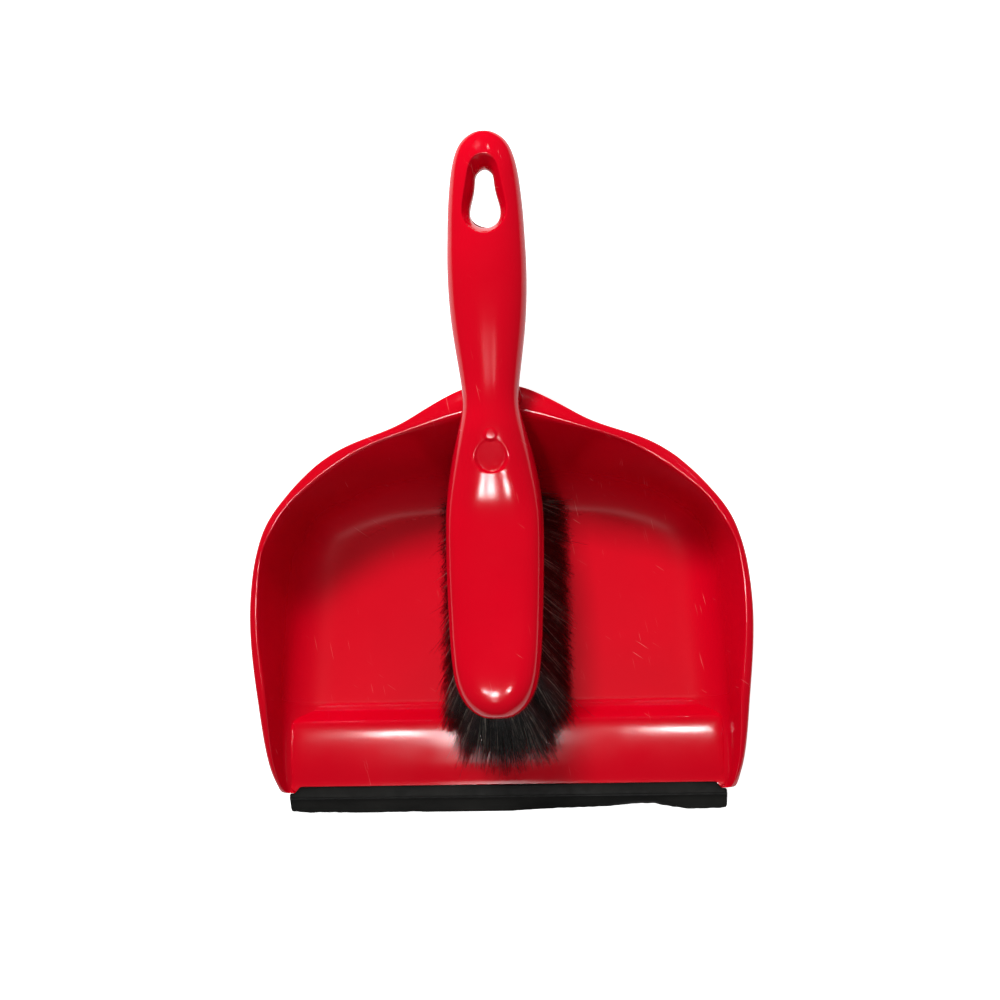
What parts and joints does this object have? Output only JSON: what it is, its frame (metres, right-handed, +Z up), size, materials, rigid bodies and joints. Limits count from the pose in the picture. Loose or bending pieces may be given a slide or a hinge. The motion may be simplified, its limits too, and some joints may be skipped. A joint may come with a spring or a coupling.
{
  "type": "dust pan and brush set",
  "caption": "Moulded dust pan with rolled rim, front ramp and rubber lip, and a matching hand brush that lies over the pan's handle and lifts off.",
  "frame": {"origin": "middle of the footprint, on the surface that the pan stands on", "axes": "+Z up, +Y from the pan's lip towards the handles, +X to the right seen from the lip"},
  "size_m": [0.24, 0.311, 0.1056],
  "materials": {
    "pan_plastic": "glossy moulded polypropylene, lightly scuffed",
    "brush_plastic": "glossy moulded polypropylene, lightly scuffed",
    "lip_rubber": "soft dark rubber extrusion",
    "bristle": "soft dark synthetic bristle",
    "anchor_wire": "plain flat steel wire"
  },
  "bodies": {
    "pan": {"dustpan": "pan_plastic", "rubber_lip": "lip_rubber"},
    "brush": {"brush_body": "brush_plastic", "tufts_rank_01": "bristle", "tufts_rank_02": "bristle", "tufts_rank_03": "bristle", "tufts_rank_04": "bristle", "tufts_rank_05": "bristle", "tufts_rank_06": "bristle", "tufts_rank_07": "bristle", "tufts_rank_08": "bristle", "tufts_rank_09": "bristle", "tufts_rank_10": "bristle", "tufts_rank_11": "bristle", "tufts_rank_12": "bristle", "tufts_rank_13": "bristle", "tufts_rank_14": "bristle", "tufts_rank_15": "bristle", "tufts_rank_16": "bristle", "anchors_rank_01": "anchor_wire", "anchors_rank_02": "anchor_wire", "anchors_rank_03": "anchor_wire", "anchors_rank_04": "anchor_wire", "anchors_rank_05": "anchor_wire", "anchors_rank_06": "anchor_wire", "anchors_rank_07": "anchor_wire", "anchors_rank_08": "anchor_wire", "anchors_rank_09": "anchor_wire", "anchors_rank_10": "anchor_wire", "anchors_rank_11": "anchor_wire", "anchors_rank_12": "anchor_wire", "anchors_rank_13": "anchor_wire", "anchors_rank_14": "anchor_wire", "anchors_rank_15": "anchor_wire", "anchors_rank_16": "anchor_wire"}
  },
  "joints": [
    {"name": "brush_lift", "type": "slide", "parent": "pan", "child": "brush", "axis": [0, 0, 1], "range_m": [0, 0.12]}
  ]
}
